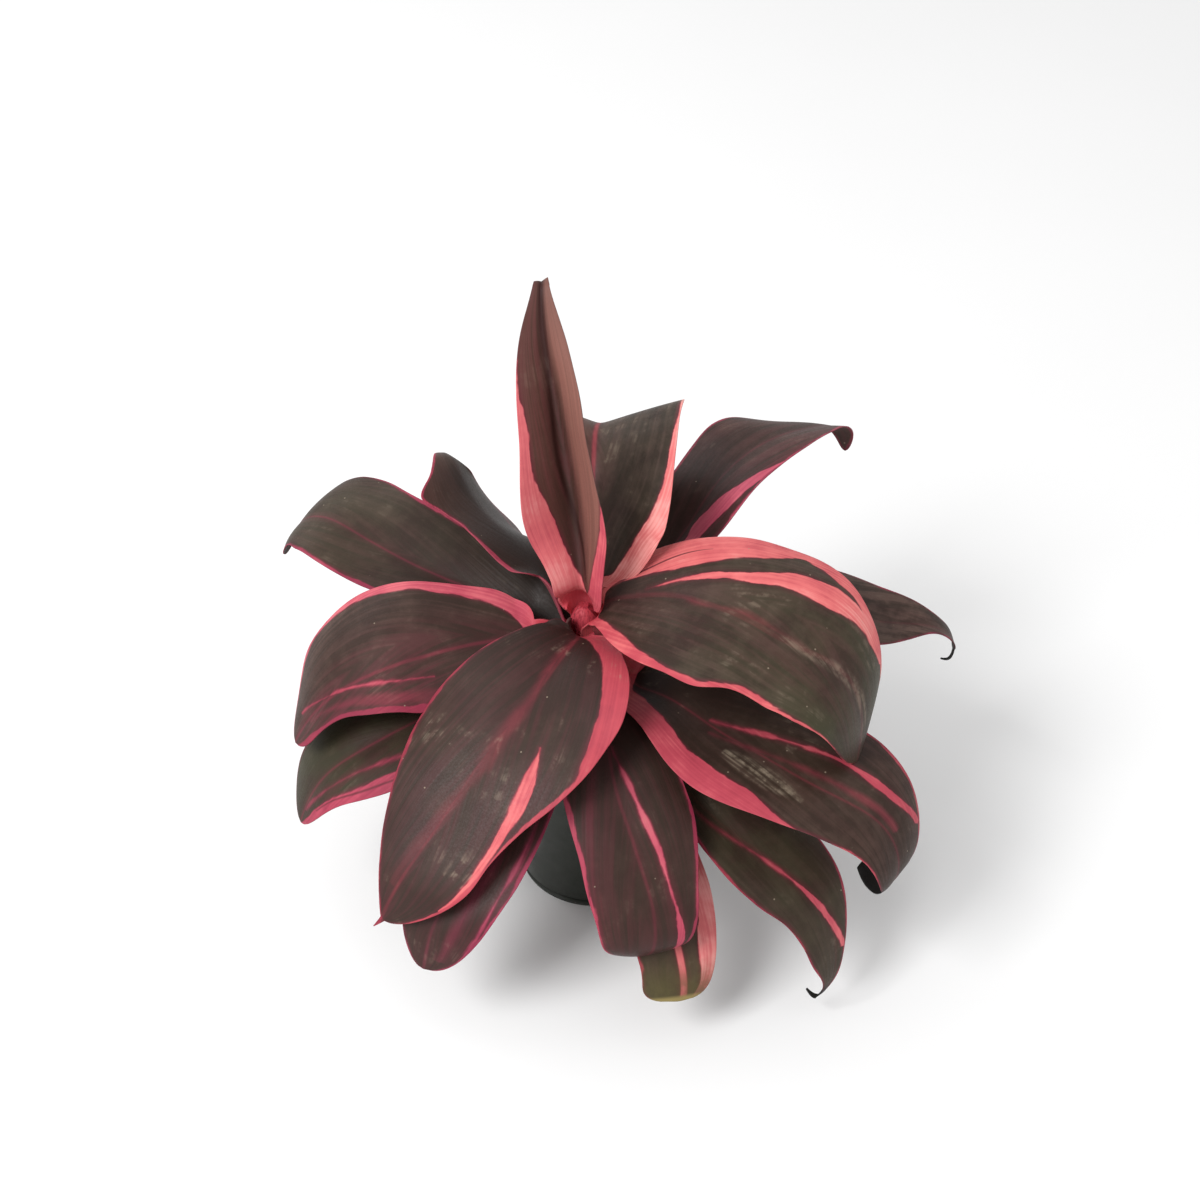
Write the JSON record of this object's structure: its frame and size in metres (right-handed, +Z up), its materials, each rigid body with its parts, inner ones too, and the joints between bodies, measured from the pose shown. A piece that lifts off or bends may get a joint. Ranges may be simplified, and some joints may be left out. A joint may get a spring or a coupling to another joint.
{
  "type": "potted ti plant",
  "caption": "Young ti plant with broad dark leaves edged in pink on one short cane, in a round tapered nursery pot.",
  "frame": {"origin": "centre of the underside of the pot, on the surface that it stands on", "axes": "+Z up, the front of the plant at -Y, +X to the right seen from the front"},
  "size_m": [0.4021, 0.3075, 0.3853],
  "materials": {
    "pot": "satin",
    "soil": "matte",
    "cane": "matte",
    "leaf": "satin"
  },
  "bodies": {
    "root": {"pot": "pot", "soil": "soil", "cane": "cane", "leaf_spear": "leaf", "leaf_back_upright": "leaf", "leaf_right_broad": "leaf", "leaf_front_left_broad": "leaf", "leaf_left_high": "leaf", "leaf_back_right": "leaf", "leaf_left": "leaf", "leaf_back_left": "leaf", "leaf_front": "leaf", "leaf_front_right": "leaf", "leaf_left_low": "leaf", "leaf_right_low": "leaf", "leaf_front_left_low": "leaf", "leaf_front_right_low": "leaf", "leaf_back_right_low": "leaf", "leaf_back_left_low": "leaf", "leaf_front_low": "leaf", "leaf_back_low": "leaf"}
  },
  "joints": []
}
